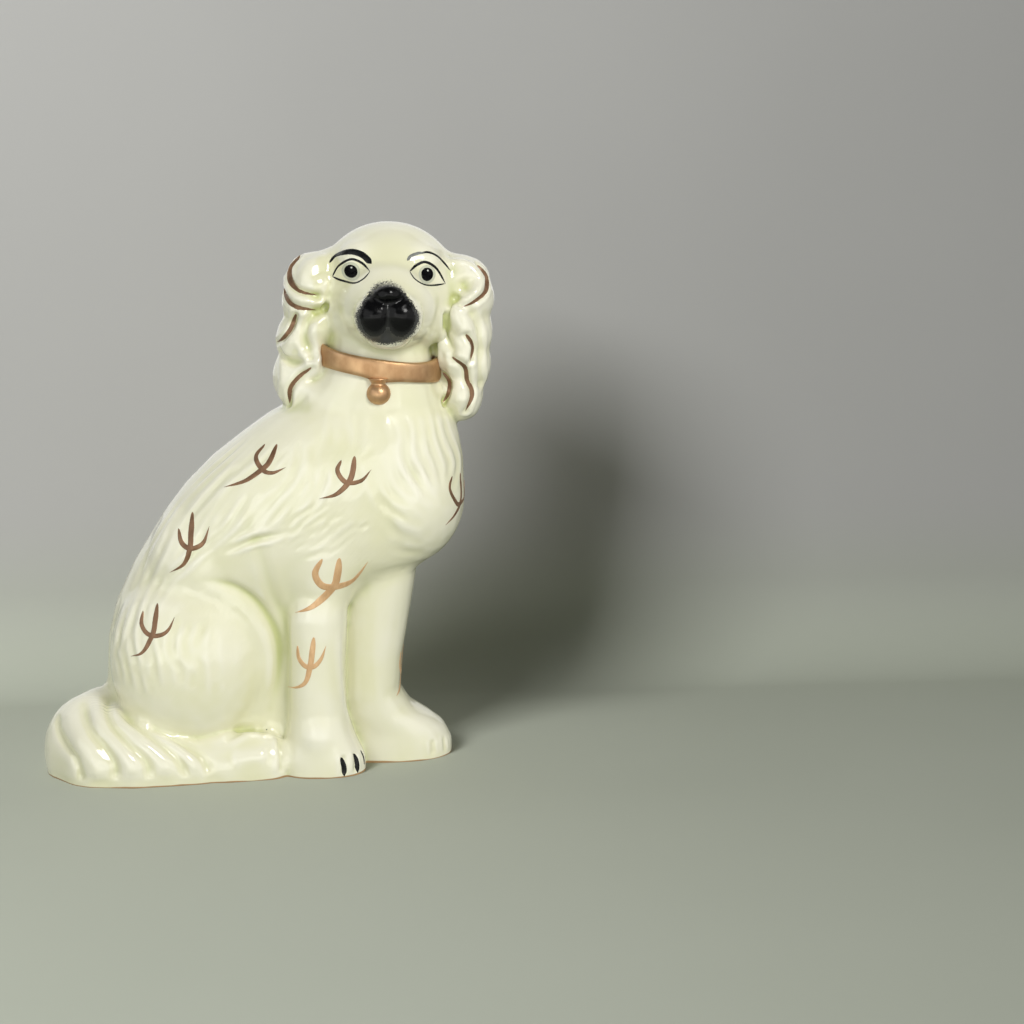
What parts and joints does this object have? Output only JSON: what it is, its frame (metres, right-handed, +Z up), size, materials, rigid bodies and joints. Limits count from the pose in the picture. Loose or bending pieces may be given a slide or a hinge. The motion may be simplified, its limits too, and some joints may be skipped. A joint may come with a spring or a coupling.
{
  "type": "ceramic dog figurine",
  "caption": "Hollow glazed earthenware seated spaniel, head turned to its right, with curled ears, a gilt collar and locket, and a flat vented base.",
  "frame": {"origin": "middle of the bounding box at the base, on the surface the figure stands on", "axes": "+X the way the body looks, -Y the side the face is turned to, +Z up"},
  "size_m": [0.2548, 0.1044, 0.3048],
  "materials": {
    "cream_glaze": "glossy creamy white glaze with a yellow-green tint where it pools",
    "bare_biscuit": "unglazed fired clay, matte",
    "gilt_lustre": "brushed-on bronze-gold lustre over glaze"
  },
  "bodies": {
    "root": {"trunk_front_shell": "cream_glaze", "trunk_back_shell": "cream_glaze", "head_front_shell": "cream_glaze", "head_back_shell": "cream_glaze", "right_ear": "cream_glaze", "left_ear": "cream_glaze", "right_foreleg": "cream_glaze", "left_foreleg": "cream_glaze", "right_hind_foot": "cream_glaze", "left_hind_foot": "cream_glaze", "tail": "cream_glaze", "base_slab": "bare_biscuit", "collar": "gilt_lustre", "locket": "gilt_lustre"}
  },
  "joints": []
}
